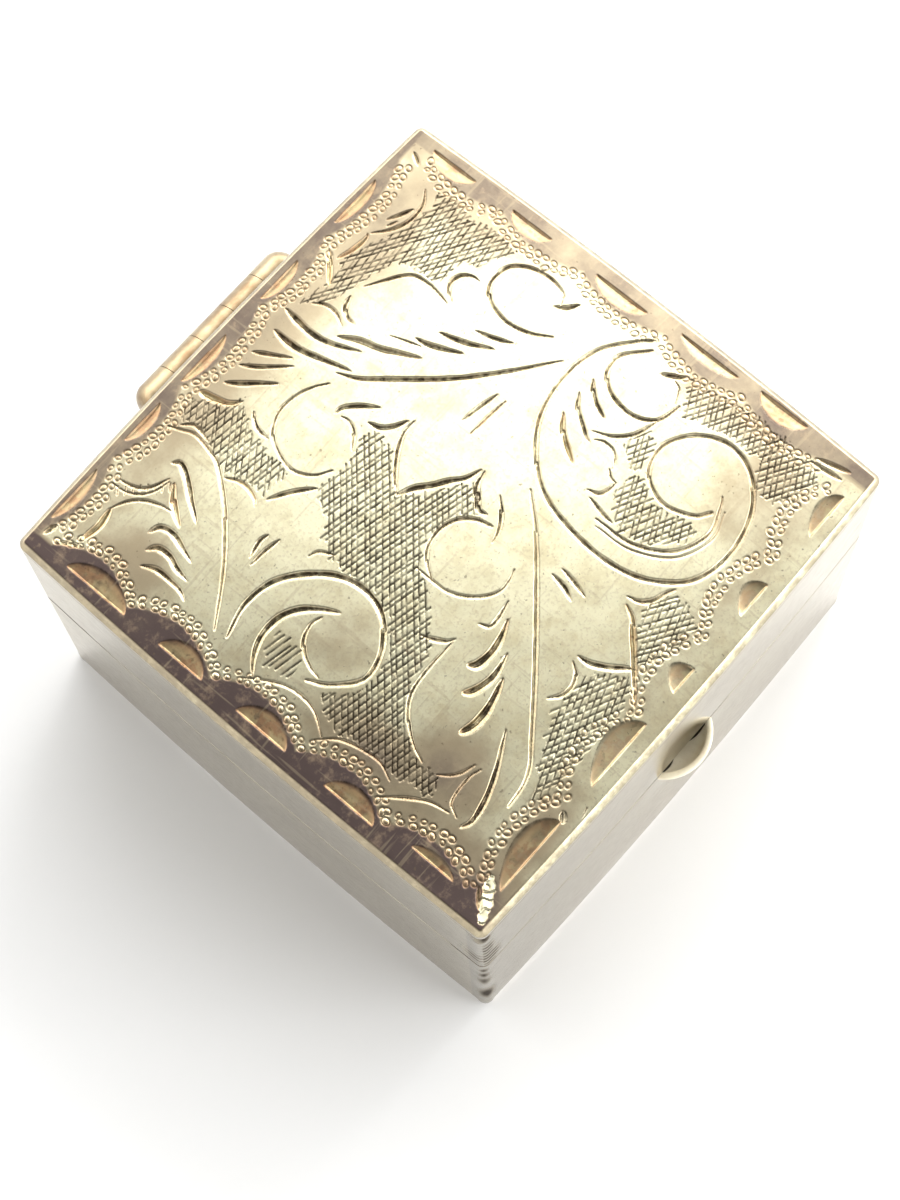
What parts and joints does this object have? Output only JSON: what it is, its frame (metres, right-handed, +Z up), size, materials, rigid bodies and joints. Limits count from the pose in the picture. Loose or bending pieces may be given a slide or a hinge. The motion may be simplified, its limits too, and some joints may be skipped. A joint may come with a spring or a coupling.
{
  "type": "pill box",
  "caption": "Small square pill box with a domed, hand-engraved hinged lid, a barrel hinge at the back and a half-bowl thumb cup at the front.",
  "frame": {"origin": "centre of the square plan on the resting face under the floor plate", "axes": "+Z up through the lid, +Y towards the hinge, -Y towards the thumb cup, +X to the right seen from the thumb cup"},
  "size_m": [0.026, 0.0301, 0.0167],
  "materials": {
    "engraved_silver": "hand-engraved satin with tarnish in the cuts",
    "wall_silver": "satin, fine lines along the sides",
    "floor_silver": "satin",
    "bezel_silver": "drawn sheet",
    "hinge_silver": "drawn tube, lightly polished",
    "cup_silver": "polished",
    "pin_silver": "drawn wire"
  },
  "bodies": {
    "base": {"base_floor_plate": "floor_silver", "base_wall_band": "wall_silver", "bezel_strip_front": "bezel_silver", "bezel_strip_left": "bezel_silver", "bezel_strip_right": "bezel_silver", "thumb_cup": "cup_silver", "hinge_pin": "pin_silver", "base_knuckle_left": "hinge_silver", "base_knuckle_middle": "hinge_silver", "base_knuckle_right": "hinge_silver"},
    "lid": {"lid_top_plate": "engraved_silver", "lid_wall_band": "wall_silver", "lid_knuckle_left": "hinge_silver", "lid_knuckle_right": "hinge_silver"}
  },
  "joints": [
    {"name": "lid_hinge", "type": "hinge", "parent": "base", "child": "lid", "pos_m": [0.00125, 0.0146, 0.00934], "axis": [-1, 0, 0], "range_deg": [0, 180]}
  ]
}
